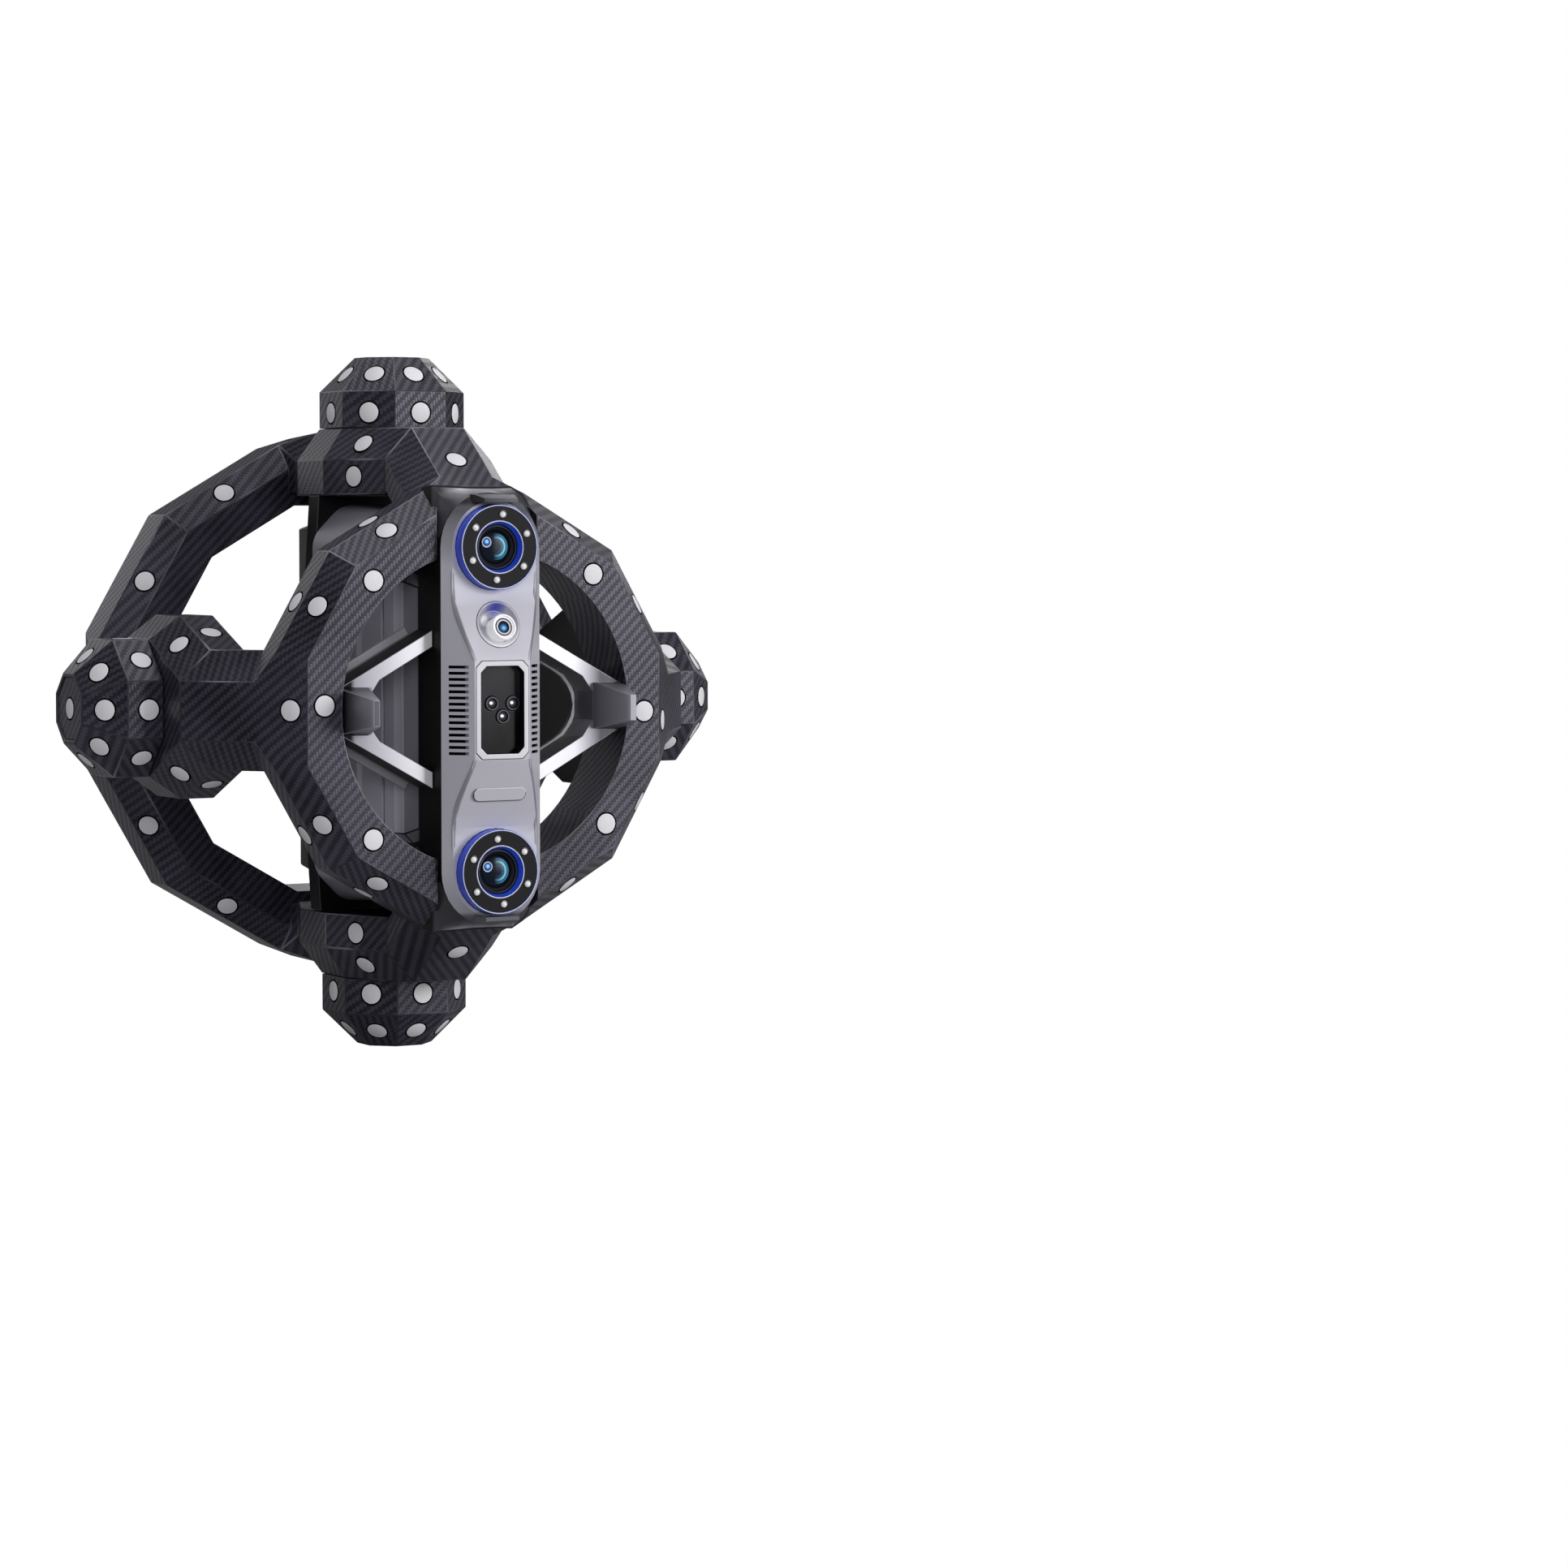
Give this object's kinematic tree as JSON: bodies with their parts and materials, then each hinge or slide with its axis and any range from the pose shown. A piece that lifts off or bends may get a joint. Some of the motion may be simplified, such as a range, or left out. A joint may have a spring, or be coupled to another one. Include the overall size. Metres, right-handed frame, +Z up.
{
  "type": "handheld 3d scanner",
  "caption": "Hand-held optical scanner: a slim head with lit cameras, held by brackets in a faceted cage of rings, collars and knobs, with a grip behind.",
  "frame": {"origin": "under the middle of the whole, on the plane that the lower knob's end stands on", "axes": "+Z up along the cage's knob axis, -Y to the front where the cameras look, +X to the right of a person who faces the cameras' side"},
  "size_m": [0.3492, 0.236, 0.3492],
  "materials": {
    "carbon": "dark carbon twill under a worn satin lacquer",
    "silver": "satin silver paint",
    "bright": "bright satin",
    "black": "fine matte grain",
    "grey": "satin",
    "blue": "blue anodised",
    "glass": "dark coated glass",
    "board": "green circuit board",
    "steel": "satin"
  },
  "bodies": {
    "scanner": {"front_ring": "carbon", "back_ring": "carbon", "top_collar": "carbon", "top_knob": "carbon", "top_knob_end": "black", "right_collar": "carbon", "right_knob": "carbon", "right_knob_end": "black", "bottom_collar": "carbon", "bottom_knob": "carbon", "bottom_knob_end": "black", "left_collar": "carbon", "left_knob": "carbon", "left_knob_end": "black", "head_front_cover": "silver", "upper_end_cap": "silver", "lower_end_cap": "silver", "right_bracket": "silver", "left_bracket": "silver", "colour_camera_barrel": "silver", "head_housing": "black", "window_panel": "black", "rear_plate": "black", "grip": "black", "socket_insert": "black", "upper_camera_ring": "blue", "upper_light_plate": "black", "upper_lens_barrel": "black", "upper_light_board": "bright", "upper_lens_glass": "glass", "upper_sensor_board": "board", "lower_camera_ring": "blue", "lower_light_plate": "black", "lower_lens_barrel": "black", "lower_light_board": "bright", "lower_lens_glass": "glass", "lower_sensor_board": "board", "colour_camera_cup": "bright", "window_frame": "bright", "blank_plate": "bright", "colour_camera_glass": "glass", "projector_module": "grey", "core_housing": "grey", "neck": "grey", "console_plate": "grey", "console_board": "board", "main_board": "board", "cable_socket": "steel", "heat_sink": "steel", "upper_right_screw": "steel", "lower_right_screw": "steel", "upper_left_screw": "steel", "lower_left_screw": "steel"},
    "scan_button": {"scan_button": "blue"},
    "plus_key": {"plus_key": "grey"},
    "minus_key": {"minus_key": "grey"},
    "trigger": {"trigger": "grey"}
  },
  "joints": [
    {"name": "scan_press", "type": "slide", "parent": "scanner", "child": "scan_button", "axis": [0, -1, 0], "range_m": [0, 0.0012], "stiffness_N_per_m": 800, "springref_m": -0.0012},
    {"name": "plus_press", "type": "slide", "parent": "scanner", "child": "plus_key", "axis": [0, -1, 0], "range_m": [0, 0.0012], "stiffness_N_per_m": 600, "springref_m": -0.0012},
    {"name": "minus_press", "type": "slide", "parent": "scanner", "child": "minus_key", "axis": [0, -1, 0], "range_m": [0, 0.0012], "stiffness_N_per_m": 600, "springref_m": -0.0012},
    {"name": "trigger_pull", "type": "slide", "parent": "scanner", "child": "trigger", "axis": [0, 1, 0], "range_m": [0, 0.003], "stiffness_N_per_m": 600, "springref_m": -0.002}
  ]
}
